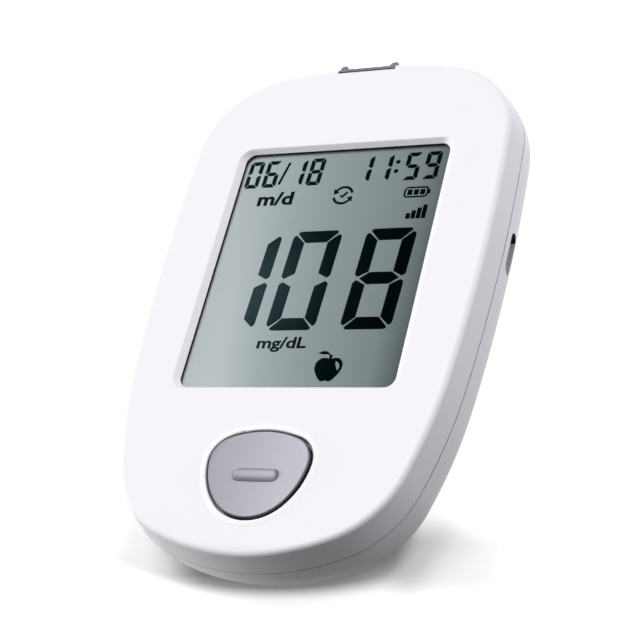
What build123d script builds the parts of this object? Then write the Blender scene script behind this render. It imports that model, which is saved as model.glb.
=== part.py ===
from build123d import *
import os
from math import copysign, radians, sin

# A hand-held blood glucose meter, lying on its back on four rubber feet.
# Millimetres. +Z points out of the display, +Y to the test strip port and +X to the
# right of the display. The origin is at the middle of the footprint, on the table.

# ---------------------------------------------------------------- driving dimensions

# Housing levels
FRONT_Z = 19.0
PARTING_Z = 13.3
BACK_Z = 0.6

# Housing outline at the parting plane: tangent arcs (radius, sweep in degrees) from the
# middle of the top end to the middle of the bottom end. The last arc closes the outline.
BODY_TOP_Y = 53.5
BODY_ARCS = ((103.9, 10.1), (18.87, 77.2), (376.0, 7.8), (95.8, 12.5), (20.13, 49.2))

WALL = 1.8
INNER_TOP_Z = FRONT_Z - WALL
FLOOR_Z = BACK_Z + WALL
FRONT_LEAN = 0.95
FRONT_EDGE_RADIUS = 1.0
CHIN_START_Y = -50.4
CHIN_RADIUS = 5.0
FRONT_INNER_RADIUS = 1.2
BELLY_RADIUS = 10.3
SHADOW_GAP = 0.35
SHADOW_GAP_DEPTH = 0.8
TONGUE_HEIGHT = 1.3
TONGUE_INSET = 1.0
REBATE_INSET = 0.9
REBATE_HEIGHT = 1.5

# Display window: opening at the foot of its bevel, and the lens pocket behind it
WINDOW_Y = 6.65
WINDOW_SIZE = (43.0, 52.45)
WINDOW_CORNER = 2.0
BEZEL_RUN = (1.1, 0.75)
BEZEL_DEPTH = 1.0
BEZEL_BASE_Z = FRONT_Z - BEZEL_DEPTH
BEZEL_EDGE_RADIUS = 0.35
LENS_SIZE = (46.8, 56.2)
LENS_CORNER = 2.0
LENS_THICKNESS = 0.65
LENS_CLEARANCE = 0.2
GASKET_THICKNESS = 0.15
GASKET_SETBACK = 0.2

# Display cell and its carrier
POLARISER_SIZE = (44.4, 54.0)
POLARISER_THICKNESS = 0.2
POLARISER_TOP_Z = BEZEL_BASE_Z - LENS_THICKNESS - GASKET_THICKNESS
GLASS_SIZE = (45.6, 57.6)
GLASS_PLATE = 1.05
GLASS_LEDGE = 3.0
GLASS_CLEARANCE = 0.2
CARRIER_SIZE = (49.6, 60.6)
CARRIER_TOP_Z = 17.1

# Main board
BOARD_TOP_Z = 12.1
BOARD_THICKNESS = 1.0
BOARD_BOTTOM_Z = BOARD_TOP_Z - BOARD_THICKNESS
BOARD_INSET = 3.4

# Button: aperture outline as tangent arcs from its top to its bottom
BUTTON_TOP_Y = -28.75
BUTTON_ARCS = ((19.26, 20.7), (5.23, 73.3), (13.0, 40.0))
BUTTON_CENTRE = (0.0, -37.6)
BUTTON_GAP = 0.42
BUTTON_PROUD = 0.5
BUTTON_DISH_RADIUS = 85.0
BUTTON_DISH_DEPTH = 0.5
BUTTON_RIM_WIDTH = 1.3
BUTTON_RIM_CREST = 0.45
BUTTON_RIM_HEIGHT = 0.15
BAR_SIZE = (9.3, 2.6)
BAR_PROUD = 0.7
CONTACT_GAP = 0.02

# Strip port
PORT_WIDTH = 12.3
PORT_CLEARANCE = 0.1
PORT_NOTCH_Y = 51.15
PORT_TOP_Y = 53.65
PORT_LIP_Y = 52.5
STRIP_Z = 15.4
STRIP_SLOT = (7.2, 0.8)

# Charging socket
USB_Y = 13.0
USB_Z = 9.7
USB_SLOT = (8.6, 3.0)
USB_MOUTH_X = 31.6

# Battery
BATTERY_SIZE = (38.0, 50.0, 5.4)
BATTERY_Y = 3.0
TAPE_THICKNESS = 0.2

# Fasteners and feet, right-hand side: each has a mirror image on the left
CASE_SCREWS = ((22.0, 43.5), (17.5, -41.5))
CASE_SEAT_Z = 9.5
CASE_SHANK_RADIUS = 1.0
BOARD_SCREWS = ((28.2, 30.0), (26.0, -27.0))
BOARD_SHANK_RADIUS = 0.9
THREAD_CLEARANCE = 0.02
FEET = ((18.5, 33.0), (13.0, -34.0))
FOOT_RADIUS = 4.0
FOOT_HEIGHT = 1.6

# ---------------------------------------------------------------- shared shapes


def arc_outline(top_y, arcs, inset=0.0):
    """Face inside a left-right symmetric outline of tangent arcs, offset inwards by inset."""
    edges = []
    point = Vector(0, top_y - inset)
    heading = Vector(1, 0)
    for radius, sweep in arcs:
        arc = JernArc(point, heading, radius - inset, -sweep)
        edges.append(arc.edge())
        point, heading = arc @ 1, arc % 1
    closing_sweep = 180 - sum(sweep for _, sweep in arcs)
    closing_radius = point.X / sin(radians(closing_sweep))
    edges.append(JernArc(point, heading, closing_radius, -closing_sweep).edge())
    other_half = [edge.mirror(Plane.YZ) for edge in edges]
    face = Face(Wire(edges + other_half))
    return face if face.normal_at().Z > 0 else -face


def body_slab(inset, low, high):
    """Slab between two levels with the housing's outline."""
    return extrude(Pos(0, 0, low) * arc_outline(BODY_TOP_Y, BODY_ARCS, inset), high - low)


def button_outline(inset):
    """Outline of the button aperture, offset inwards by inset."""
    return arc_outline(BUTTON_TOP_Y, BUTTON_ARCS, inset)


def button_slab(inset, low, high):
    """Slab between two levels with the button aperture's outline."""
    return extrude(Pos(0, 0, low) * button_outline(inset), high - low)


def plate(size, centre, low, high, corner=0.0):
    """Rectangular plate between two levels, with rounded corners where corner is given."""
    outline = RectangleRounded(*size, corner) if corner else Rectangle(*size)
    return extrude(Pos(centre[0], centre[1], low) * outline, high - low)


def rod(radius, x, y, low, high):
    """Upright cylinder between two levels."""
    return Pos(x, y, (low + high) / 2) * Cylinder(radius, high - low)


def side_profile(points, width):
    """Prism across the centre line whose outline is given in the Y-Z plane."""
    outline = Plane.YZ * make_face(Polyline(*points, close=True))
    return extrude(outline, width / 2, both=True)


def both_sides(points):
    """Each point with its mirror image across the centre line."""
    return [(side * x, y) for x, y in points for side in (-1, 1)]


def edges_at(shape, level):
    """Edges that lie wholly at one level."""
    return shape.edges().filter_by_position(Axis.Z, level - 0.001, level + 0.001)


def edges_along(shape, level, outline):
    """Edges at one level that follow an outline drawn at that level."""
    rim = outline.face().outer_wire()
    return [edge for edge in edges_at(shape, level) if rim.distance_to(edge @ 0.5) < 0.01]


def screw(head_radius, head_height, shank_radius, shank_length, x, y, seat_z):
    """Pan-head self-tapping screw that points upwards, its head just below seat_z."""
    head = rod(head_radius, x, y, seat_z - head_height, seat_z)
    head = fillet(edges_at(head, seat_z - head_height), head_height * 0.45)
    shank = rod(shank_radius, x, y, seat_z, seat_z + shank_length)
    shank = chamfer(edges_at(shank, seat_z + shank_length), shank_radius * 0.4)
    return head + shank


# ---------------------------------------------------------------- front shell

CASE_BOSS_RADIUS = 2.6
CASE_BOSS_LOW_Z = PARTING_Z + 0.1
BOARD_BOSS_RADIUS = 2.0
PILOT_TOP_Z = INNER_TOP_Z - 0.3
RIB_WIDTH = 1.0
RIB_LENGTH = 56.0
RIB_Y = -25.4
RIB_LOW_Z = 15.6
GUSSET_LENGTH = 8.2
GUSSET_LOW_Z = 15.3
ROOT_OVERLAP = 0.2


def bezel_outline(share):
    """Outline of the window opening, wider by that share of the bevel's run."""
    width, height = WINDOW_SIZE
    side_run, end_run = share * BEZEL_RUN[0], share * BEZEL_RUN[1]
    return RectangleRounded(width + 2 * side_run, height + 2 * end_run, WINDOW_CORNER + end_run)


def window_cutter():
    """Bevelled opening through the front wall, with the lens pocket behind it."""
    overshoot = 1.3
    bezel = loft([
        Pos(0, WINDOW_Y, BEZEL_BASE_Z) * bezel_outline(0),
        Pos(0, WINDOW_Y, BEZEL_BASE_Z + overshoot * BEZEL_DEPTH)
        * bezel_outline(overshoot),
    ], ruled=True)
    pocket_size = [side + 2 * LENS_CLEARANCE for side in LENS_SIZE]
    pocket = plate(pocket_size, (0, WINDOW_Y), INNER_TOP_Z - 1, BEZEL_BASE_Z, LENS_CORNER)
    return bezel + pocket


def front_outside():
    """Outside of the front half: walls that lean in, and a face that rolls off at the chin."""
    block = loft([
        Pos(0, 0, PARTING_Z) * arc_outline(BODY_TOP_Y, BODY_ARCS),
        Pos(0, 0, FRONT_Z) * arc_outline(BODY_TOP_Y, BODY_ARCS, FRONT_LEAN),
    ], ruled=True)
    roll_z = FRONT_Z - CHIN_RADIUS
    chin = plate((80, 10), (0, CHIN_START_Y - 5), roll_z, FRONT_Z + 1)
    block -= chin - Pos(0, CHIN_START_Y, roll_z) * Rot(0, 90, 0) * Cylinder(CHIN_RADIUS, 90)
    rim = [
        edge for edge in block.edges()
        if edge.center().Z > FRONT_Z - 1 and abs((edge @ 0).Z - (edge @ 1).Z) < 1
        and abs((edge @ 0.5).X) > 0.01
    ]
    return fillet(rim, FRONT_EDGE_RADIUS)


def front_shell():
    """Moulded front half: face, bevelled window, raised button ring, bosses and ribs."""
    shell = front_outside()
    cavity = body_slab(WALL, PARTING_Z - 1, INNER_TOP_Z)
    shell -= fillet(edges_at(cavity, INNER_TOP_Z), FRONT_INNER_RADIUS)
    shell -= body_slab(REBATE_INSET, PARTING_Z - 1, PARTING_Z + REBATE_HEIGHT)

    rim_top_z = FRONT_Z + BUTTON_RIM_HEIGHT
    shell += loft([
        Pos(0, 0, FRONT_Z) * button_outline(-BUTTON_RIM_WIDTH),
        Pos(0, 0, rim_top_z) * button_outline(-BUTTON_RIM_CREST),
    ], ruled=True)
    shell -= button_slab(0, INNER_TOP_Z - 1, FRONT_Z + 1)
    aperture_edges = edges_along(shell, rim_top_z, Pos(0, 0, rim_top_z) * button_outline(0))
    shell = fillet(aperture_edges, BUTTON_RIM_CREST * 0.7)

    root_z = INNER_TOP_Z + ROOT_OVERLAP
    shell += plate((RIB_LENGTH, RIB_WIDTH), (0, RIB_Y), RIB_LOW_Z, root_z)
    for x, y in both_sides(CASE_SCREWS):
        shell += rod(CASE_BOSS_RADIUS, x, y, CASE_BOSS_LOW_Z, root_z)
        shell += plate((GUSSET_LENGTH, RIB_WIDTH), (x, y), GUSSET_LOW_Z, root_z)
        shell -= rod(CASE_SHANK_RADIUS + THREAD_CLEARANCE, x, y, PARTING_Z, PILOT_TOP_Z)
    for x, y in both_sides(BOARD_SCREWS):
        shell += rod(BOARD_BOSS_RADIUS, x, y, BOARD_TOP_Z, root_z)
        shell -= rod(BOARD_SHANK_RADIUS + THREAD_CLEARANCE, x, y, BOARD_TOP_Z - 1, PILOT_TOP_Z)

    shell -= window_cutter()
    mouth = Pos(0, WINDOW_Y, FRONT_Z) * bezel_outline(1)
    shell = fillet(edges_along(shell, FRONT_Z, mouth), BEZEL_EDGE_RADIUS)
    return shell - plate((PORT_WIDTH, 10), (0, PORT_NOTCH_Y + 5), PARTING_Z - 1, FRONT_Z + 1)


# ---------------------------------------------------------------- rear shell

POST_RADIUS = 3.5
WELL_RADIUS = 2.4
POST_HOLE_RADIUS = 1.15
TONGUE_NOTCH = PORT_WIDTH + 0.8
CRADLE_RIB_LENGTH = 26.0
CRADLE_RIB_TOP_Z = 6.4
CRADLE_GAP = 0.5
LABEL_RECESS = (32.0, 44.0, 0.25)


def usb_slot_cutter():
    """Slot with full round ends through the right wall, in front of the socket."""
    slot = SlotOverall(*USB_SLOT)
    return extrude(Plane.YZ * Pos(USB_Y, USB_Z, USB_MOUTH_X - 4) * slot, 12)


def battery_cradle():
    """Four low ribs on the floor that keep the cell from sliding."""
    ribs = []
    for side in (-1, 1):
        x = side * (BATTERY_SIZE[0] / 2 + CRADLE_GAP + RIB_WIDTH / 2)
        y = BATTERY_Y + side * (BATTERY_SIZE[1] / 2 + CRADLE_GAP + RIB_WIDTH / 2)
        low = FLOOR_Z - ROOT_OVERLAP
        ribs.append(
            plate((RIB_WIDTH, CRADLE_RIB_LENGTH), (x, BATTERY_Y), low, CRADLE_RIB_TOP_Z)
        )
        ribs.append(plate((CRADLE_RIB_LENGTH / 2, RIB_WIDTH), (-6, y), low, CRADLE_RIB_TOP_Z))
    return ribs


def rear_shell():
    """Moulded rear half: belly, tongue, screw wells, recesses for feet and label, cradle."""
    outside = body_slab(0, BACK_Z, PARTING_Z)
    outside = fillet(edges_at(outside, BACK_Z), BELLY_RADIUS)
    cavity = body_slab(WALL, FLOOR_Z, PARTING_Z + 1)
    shell = outside - fillet(edges_at(cavity, FLOOR_Z), BELLY_RADIUS - WALL)
    gap_low_z = PARTING_Z - SHADOW_GAP
    ring = body_slab(-1, gap_low_z, PARTING_Z + 1)
    shell -= ring - body_slab(SHADOW_GAP_DEPTH, gap_low_z, PARTING_Z + 1)
    tongue = body_slab(TONGUE_INSET, PARTING_Z - ROOT_OVERLAP, PARTING_Z + TONGUE_HEIGHT)
    shell += tongue - body_slab(WALL, PARTING_Z - 1, FRONT_Z)
    shell -= plate((TONGUE_NOTCH, 10), (0, PORT_NOTCH_Y + 5), PARTING_Z, FRONT_Z)

    for x, y in both_sides(CASE_SCREWS):
        shell += rod(POST_RADIUS, x, y, BACK_Z, PARTING_Z) & outside
        shell -= rod(WELL_RADIUS, x, y, BACK_Z - 1, CASE_SEAT_Z)
        shell -= rod(POST_HOLE_RADIUS, x, y, CASE_SEAT_Z - 1, PARTING_Z + 1)
    for x, y in both_sides(FEET):
        shell -= rod(FOOT_RADIUS, x, y, BACK_Z - 1, FOOT_HEIGHT)
    shell -= plate(LABEL_RECESS[:2], (0, 0), BACK_Z - 1, BACK_Z + LABEL_RECESS[2], 2.0)
    for rib in battery_cradle():
        shell += rib
    return shell - usb_slot_cutter()


# ---------------------------------------------------------------- display


def display_window():
    """Clear lens in its pocket, against the back of the front wall."""
    low = BEZEL_BASE_Z - LENS_THICKNESS
    lens = plate(LENS_SIZE, (0, WINDOW_Y), low, BEZEL_BASE_Z, LENS_CORNER)
    return chamfer(edges_at(lens, BEZEL_BASE_Z), 0.1)


def window_gasket():
    """Thin black frame behind the lens, set back a little from the edge of the opening."""
    high = BEZEL_BASE_Z - LENS_THICKNESS
    low = high - GASKET_THICKNESS
    tape = plate(LENS_SIZE, (0, WINDOW_Y), low, high, LENS_CORNER)
    opening = [side + 2 * GASKET_SETBACK for side in WINDOW_SIZE]
    return tape - plate(opening, (0, WINDOW_Y), low - 1, high + 1, WINDOW_CORNER)


FRONT_PLATE_TOP_Z = POLARISER_TOP_Z - POLARISER_THICKNESS
LEDGE_Z = FRONT_PLATE_TOP_Z - GLASS_PLATE
REAR_PLATE_LOW_Z = LEDGE_Z - GLASS_PLATE
CARRIER_LEDGE_Z = REAR_PLATE_LOW_Z - POLARISER_THICKNESS
REAR_PLATE_Y = WINDOW_Y + GLASS_LEDGE / 2
LEDGE_Y = WINDOW_Y - GLASS_SIZE[1] / 2 + GLASS_LEDGE / 2


def lcd_glass():
    """Two glass plates; the front one reaches past the rear one as the contact ledge."""
    front = plate(GLASS_SIZE, (0, WINDOW_Y), LEDGE_Z, FRONT_PLATE_TOP_Z)
    rear_size = (GLASS_SIZE[0], GLASS_SIZE[1] - GLASS_LEDGE)
    return front + plate(rear_size, (0, REAR_PLATE_Y), REAR_PLATE_LOW_Z, LEDGE_Z)


def front_polariser():
    """Film on the front of the cell."""
    return plate(POLARISER_SIZE, (0, WINDOW_Y), FRONT_PLATE_TOP_Z, POLARISER_TOP_Z, 0.4)


def rear_polariser():
    """Reflecting film behind the cell."""
    size = (POLARISER_SIZE[0], GLASS_SIZE[1] - GLASS_LEDGE - 1.2)
    return plate(size, (0, REAR_PLATE_Y), CARRIER_LEDGE_Z, REAR_PLATE_LOW_Z, 0.4)


PEG_RADIUS = 0.7
PEG_CLEARANCE = 0.05
CARRIER_PEGS = ((23.9, 32.5), (23.9, -19.0))
ELASTOMER_SIZE = (41.0, 2.0)


def lcd_frame():
    """Moulded carrier: pocket for the cell, opening behind it and pegs into the board."""
    carrier = plate(CARRIER_SIZE, (0, WINDOW_Y), BOARD_TOP_Z, CARRIER_TOP_Z, 1.5)
    pocket_size = [side + 2 * GLASS_CLEARANCE for side in GLASS_SIZE]
    carrier -= plate(pocket_size, (0, WINDOW_Y), CARRIER_LEDGE_Z, FRONT_Z)
    carrier -= plate((41.0, 49.0), (0, REAR_PLATE_Y), BOARD_TOP_Z - 1, FRONT_Z, 2.0)
    slot_size = [side + 0.4 for side in ELASTOMER_SIZE]
    carrier -= plate(slot_size, (0, LEDGE_Y), BOARD_TOP_Z - 1, FRONT_Z)
    for x, y in both_sides(CARRIER_PEGS):
        carrier += rod(PEG_RADIUS, x, y, BOARD_BOTTOM_Z - 0.3, BOARD_TOP_Z + ROOT_OVERLAP)
    return carrier


def elastomer_strip():
    """Rubber contact strip pressed between the board and the glass ledge."""
    return plate(ELASTOMER_SIZE, (0, LEDGE_Y), BOARD_TOP_Z, LEDGE_Z)


# ---------------------------------------------------------------- board and what it carries

POST_CUTOUT_RADIUS = POST_RADIUS + 0.4
BOARD_HOLE_RADIUS = 1.05


def main_board():
    """Circuit board, cut round the screw posts, with holes for screws and carrier pegs."""
    board = body_slab(BOARD_INSET, BOARD_BOTTOM_Z, BOARD_TOP_Z)
    low, high = BOARD_BOTTOM_Z - 1, BOARD_TOP_Z + 1
    for x, y in both_sides(CASE_SCREWS):
        board -= rod(POST_CUTOUT_RADIUS, x, y, low, high)
        outwards = (x + copysign(POST_CUTOUT_RADIUS, x), y + copysign(POST_CUTOUT_RADIUS, y))
        board -= plate((2 * POST_CUTOUT_RADIUS, 4 * POST_CUTOUT_RADIUS), outwards, low, high, 1.0)
    for x, y in both_sides(BOARD_SCREWS):
        board -= rod(BOARD_HOLE_RADIUS, x, y, low, high)
    for x, y in both_sides(CARRIER_PEGS):
        board -= rod(PEG_RADIUS + PEG_CLEARANCE, x, y, low, high)
    return board


def microcontroller():
    """Chip on the front of the board, below the display."""
    chip = plate((12, 12), (-4, 2), BOARD_TOP_Z, BOARD_TOP_Z + 1.3)
    return chamfer(edges_at(chip, BOARD_TOP_Z + 1.3), 0.25)


MODULE_SIZE = (24.0, 22.0)
MODULE_CENTRE = (0.0, 34.0)
MODULE_THICKNESS = 0.8
SHIELD_HEIGHT = 1.6
SHIELD_THICKNESS = 0.25
SHIELD_Z = BOARD_BOTTOM_Z - MODULE_THICKNESS


def cellular_module():
    """Small radio board soldered flat to the rear of the main board."""
    return plate(MODULE_SIZE, MODULE_CENTRE, SHIELD_Z, BOARD_BOTTOM_Z)


def module_shield():
    """Sheet metal can over the radio board's parts."""
    size = [side - 1.2 for side in MODULE_SIZE]
    can = plate(size, MODULE_CENTRE, SHIELD_Z - SHIELD_HEIGHT, SHIELD_Z, 0.8)
    hollow = [side - 2 * SHIELD_THICKNESS for side in size]
    low = SHIELD_Z - SHIELD_HEIGHT + SHIELD_THICKNESS
    return can - plate(hollow, MODULE_CENTRE, low, SHIELD_Z + 1, 0.5)


SIM_CENTRE = (-19.0, -4.0)
SIM_HOLDER_HEIGHT = 1.4
SIM_CARD = (8.8, 12.3, 0.7)
SIM_CARD_Z = BOARD_BOTTOM_Z - 0.35


def sim_holder():
    """Sheet metal cage that holds the card against its contacts, open at one end."""
    holder = plate((11.0, 13.6), SIM_CENTRE, BOARD_BOTTOM_Z - SIM_HOLDER_HEIGHT, BOARD_BOTTOM_Z)
    passage = (SIM_CARD[0] + 0.2, SIM_CARD[1] + 4)
    centre = (SIM_CENTRE[0], SIM_CENTRE[1] - 1.9)
    return holder - plate(
        passage, centre, SIM_CARD_Z - SIM_CARD[2] - 0.1, BOARD_BOTTOM_Z - 0.2
    )


def sim_card():
    """Card with one cut corner."""
    card = plate(SIM_CARD[:2], SIM_CENTRE, SIM_CARD_Z - SIM_CARD[2], SIM_CARD_Z)
    upright = card.edges().filter_by(Axis.Z)
    return chamfer(upright.sort_by(Axis.X)[-2:].sort_by(Axis.Y)[0], 1.6)


def antenna():
    """Block antenna at the bottom end of the board, clear of metal."""
    block = plate((26, 7), (0, -43.2), BOARD_BOTTOM_Z - 3.2, BOARD_BOTTOM_Z)
    return chamfer(edges_at(block, BOARD_BOTTOM_Z - 3.2), 0.3)


def buzzer():
    """Round sounder with a small outlet in its lid."""
    x, y = -17.5, -28.5
    can = rod(5, x, y, BOARD_BOTTOM_Z - 3, BOARD_BOTTOM_Z)
    can = fillet(edges_at(can, BOARD_BOTTOM_Z - 3), 0.4)
    return can - rod(0.8, x, y, BOARD_BOTTOM_Z - 4, BOARD_BOTTOM_Z - 1.5)


USB_DEPTH = 5.6
USB_WIDTH = 7.5
USB_LOW_Z = BOARD_BOTTOM_Z - 2.7
USB_SHEET = 0.3


def usb_socket():
    """Micro-USB receptacle: metal shell with chamfered corners, and a contact tongue."""
    middle_z = (USB_LOW_Z + BOARD_BOTTOM_Z) / 2
    mouth = Plane.YZ * Pos(USB_Y, middle_z, USB_MOUTH_X)
    profile = Rectangle(USB_WIDTH, BOARD_BOTTOM_Z - USB_LOW_Z)
    profile = chamfer(profile.vertices().sort_by(Axis.Y)[:2], 0.6)
    shell = extrude(mouth * profile, -USB_DEPTH)
    inside = offset(profile, -USB_SHEET)
    shell -= extrude(mouth * inside, -USB_DEPTH + 0.8)
    tongue = Rectangle(USB_WIDTH - 3.2, 0.6)
    return shell + extrude(mouth * Pos(0, 0.3, -0.8) * tongue, -USB_DEPTH + 1.0)


# ---------------------------------------------------------------- battery

BATTERY_LOW_Z = FLOOR_Z + TAPE_THICKNESS
LEAD_X = (9.9, 11.5)
LEAD_RADIUS = 0.5
PLUG_Y = (-33.6, -28.6)
PLUG_Z = 9.3
PLUG_SIZE = (4.6, 2.2)
HEADER_SIZE = (6.4, 3.6)
HEADER_Y = (-35.2, -30.4)


def battery_cell():
    """Flat pouch cell with rounded long edges."""
    high = BATTERY_LOW_Z + BATTERY_SIZE[2]
    cell = plate(BATTERY_SIZE[:2], (0, BATTERY_Y), BATTERY_LOW_Z, high, 2.0)
    return fillet(edges_at(cell, BATTERY_LOW_Z) + edges_at(cell, high), 1.0)


def battery_tape():
    """Foam tape that holds the cell to the floor."""
    return plate((28, 38), (0, BATTERY_Y), FLOOR_Z, BATTERY_LOW_Z)


def cross_block(size, y_range):
    """Block on the plug's line, from one Y to another."""
    centre_x = sum(LEAD_X) / 2
    length = y_range[1] - y_range[0]
    return Pos(centre_x, sum(y_range) / 2, PLUG_Z) * Box(size[0], length, size[1])


def battery_connector():
    """Header on the rear of the board, open towards the cell."""
    header = cross_block(HEADER_SIZE, HEADER_Y)
    cavity = [side + 0.2 for side in PLUG_SIZE]
    return header - cross_block(cavity, (PLUG_Y[0] - 0.1, HEADER_Y[1] + 1))


def battery_plug():
    """Plug on the cell's leads."""
    return cross_block(PLUG_SIZE, PLUG_Y)


def battery_leads():
    """Two leads that rise in an S from the end of the cell to the plug."""
    cell_end_y = BATTERY_Y - BATTERY_SIZE[1] / 2
    cell_z = BATTERY_LOW_Z + BATTERY_SIZE[2] / 2
    leads = []
    for x in LEAD_X:
        path = FilletPolyline(
            (x, cell_end_y, cell_z),
            (x, cell_end_y - 2.2, cell_z),
            (x, PLUG_Y[1] + 2.2, PLUG_Z),
            (x, PLUG_Y[1], PLUG_Z),
            radius=1.4,
        )
        start = Plane(origin=path @ 0, z_dir=path % 0)
        leads.append(sweep(start * Circle(LEAD_RADIUS), path=path))
    return Compound(children=[lead.solid() for lead in leads])


# ---------------------------------------------------------------- strip port

PORT_HALF = PORT_WIDTH / 2 - PORT_CLEARANCE
PORT_INNER_TOP_Z = 16.4
PORT_SILL_Z = PARTING_Z + 0.15
PORT_FLOOR_Z = BOARD_TOP_Z + 0.1
PORT_INNER_Y = 46.6
PORT_LEAN_START = (51.6, 18.85)
PORT_LEAN_END_Z = 18.1
EAR_LOW_Z = 17.1
FLANGE_WIDTH = 14.6
FLANGE_Y = (49.4, 51.0)
EAR_INNER_TOP = 4.9
EAR_INNER_FOOT = 4.4
MOUTH_SIZE = (8.8, 2.2)
THROAT_Y = 49.8


def strip_port():
    """Insert in the top end: leaning front lip between two thin ears, and a funnelled slot."""
    insert = side_profile([
        (PORT_INNER_Y, PORT_FLOOR_Z),
        (PORT_INNER_Y, PORT_INNER_TOP_Z),
        (PORT_LEAN_START[0] - 0.15, PORT_INNER_TOP_Z),
        PORT_LEAN_START,
        (PORT_TOP_Y, PORT_LEAN_END_Z),
        (PORT_TOP_Y, EAR_LOW_Z),
        (PORT_LIP_Y, EAR_LOW_Z),
        (PORT_LIP_Y, PORT_SILL_Z),
        (FLANGE_Y[1], PORT_SILL_Z),
        (FLANGE_Y[1], PORT_FLOOR_Z),
    ], 2 * PORT_HALF)
    flange_centre = (0, sum(FLANGE_Y) / 2)
    flange_size = (FLANGE_WIDTH, FLANGE_Y[1] - FLANGE_Y[0])
    insert += plate(flange_size, flange_centre, PORT_FLOOR_Z, PORT_INNER_TOP_Z)

    gap_outline = Polyline(
        (-EAR_INNER_FOOT, PORT_LIP_Y),
        (EAR_INNER_FOOT, PORT_LIP_Y),
        (EAR_INNER_TOP + 0.2, PORT_TOP_Y + 0.5),
        (-EAR_INNER_TOP - 0.2, PORT_TOP_Y + 0.5),
        close=True,
    )
    insert -= extrude(Pos(0, 0, STRIP_Z) * make_face(gap_outline), FRONT_Z)

    across = Plane(origin=(0, 0, STRIP_Z), x_dir=(1, 0, 0), z_dir=(0, 1, 0))
    throat = Rectangle(*STRIP_SLOT)
    insert -= loft([
        across * Pos(0, 0, THROAT_Y) * throat,
        across * Pos(0, 0, PORT_TOP_Y + 0.1) * Rectangle(*MOUTH_SIZE),
    ], ruled=True)
    insert -= extrude(across * Pos(0, 0, PORT_INNER_Y - 1) * throat, THROAT_Y - PORT_INNER_Y + 2)
    ear_edges = [
        edge for edge in insert.edges().filter_by(Axis.Z)
        if edge.center().Y > PORT_TOP_Y - 0.01 and edge.center().Z > STRIP_Z + 1
    ]
    return fillet(ear_edges, 0.35)


BLOCK_WIDTH = 11.2
BLOCK_Y = (39.6, 46.5)
BLOCK_TOP_Z = 16.6
CHANNEL_WIDTH = 7.4
CHANNEL_Z = (13.2, 15.8)
STOP_Y = (40.4, 41.2)
CONTACT_COUNT = 5
CONTACT_PITCH = 1.35
CONTACT_WIDTH = 0.6
CONTACT_THICKNESS = 0.15


def contact_block():
    """Moulded block behind the port, with a stop for the end of the strip."""
    middle_y = sum(BLOCK_Y) / 2
    length = BLOCK_Y[1] - BLOCK_Y[0]
    block = plate((BLOCK_WIDTH, length), (0, middle_y), BOARD_TOP_Z, BLOCK_TOP_Z)
    block -= plate((CHANNEL_WIDTH, length + 2), (0, middle_y), *CHANNEL_Z)
    stop_size = (CHANNEL_WIDTH + 0.4, STOP_Y[1] - STOP_Y[0])
    strip_low_z = STRIP_Z - STRIP_SLOT[1] / 2
    return block + plate(stop_size, (0, sum(STOP_Y) / 2), strip_low_z, CHANNEL_Z[1] + 0.2)


def strip_contacts():
    """Five leaf springs, each with a solder tail, a riser and a bent contact tip."""
    strip_low_z = STRIP_Z - STRIP_SLOT[1] / 2
    tail_z = BOARD_TOP_Z + CONTACT_THICKNESS / 2
    leaf = FilletPolyline(
        (BLOCK_Y[0] - 2.0, tail_z),
        (BLOCK_Y[0] - 0.4, tail_z),
        (BLOCK_Y[0] - 0.2, CHANNEL_Z[0] + 0.3),
        (BLOCK_Y[0] + 4.8, strip_low_z - 0.15),
        (BLOCK_Y[0] + 6.0, strip_low_z - 0.7),
        radius=0.3,
    )
    outline = trace(leaf, CONTACT_THICKNESS)
    first_x = -CONTACT_PITCH * (CONTACT_COUNT - 1) / 2
    contacts = []
    for index in range(CONTACT_COUNT):
        x = first_x + index * CONTACT_PITCH - CONTACT_WIDTH / 2
        contacts.append(extrude(Plane.YZ * Pos(0, 0, x) * outline, CONTACT_WIDTH).solid())
    return Compound(children=contacts)


# ---------------------------------------------------------------- button and switch

CAP_TOP_Z = FRONT_Z + BUTTON_PROUD
CAP_FLOOR_Z = 17.9
FLANGE_LOW_Z = 16.35
FLANGE_TOP_Z = INNER_TOP_Z - 0.05
FLANGE_REACH = 0.75
CAP_WALL = 1.0
CAP_EDGE_RADIUS = 0.5
CAP_BOSS_RADIUS = 2.2
PLUNGER_TOP_Z = 15.9
PLUNGER_RADIUS = 1.75
COLLAR_RADIUS = 2.2
SWITCH_SIZE = 6.2
SWITCH_TOP_Z = 14.5
COVER_THICKNESS = 0.2


def button_bar(dish_z):
    """Raised bar with a crowned back and round ends, standing in the middle of the dish."""
    length, width = BAR_SIZE
    crown = (width**2 / 4 + BAR_PROUD**2) / (2 * BAR_PROUD)
    middle = Pos(*BUTTON_CENTRE, dish_z + BAR_PROUD - crown)
    bar = middle * Rot(0, 90, 0) * Cylinder(crown, length - width)
    for side in (-1, 1):
        bar += middle * Pos(side * (length - width) / 2, 0, 0) * Sphere(crown)
    return bar & plate((2 * length, 2 * width), BUTTON_CENTRE, dish_z - 0.3, dish_z + BAR_PROUD)


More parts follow.
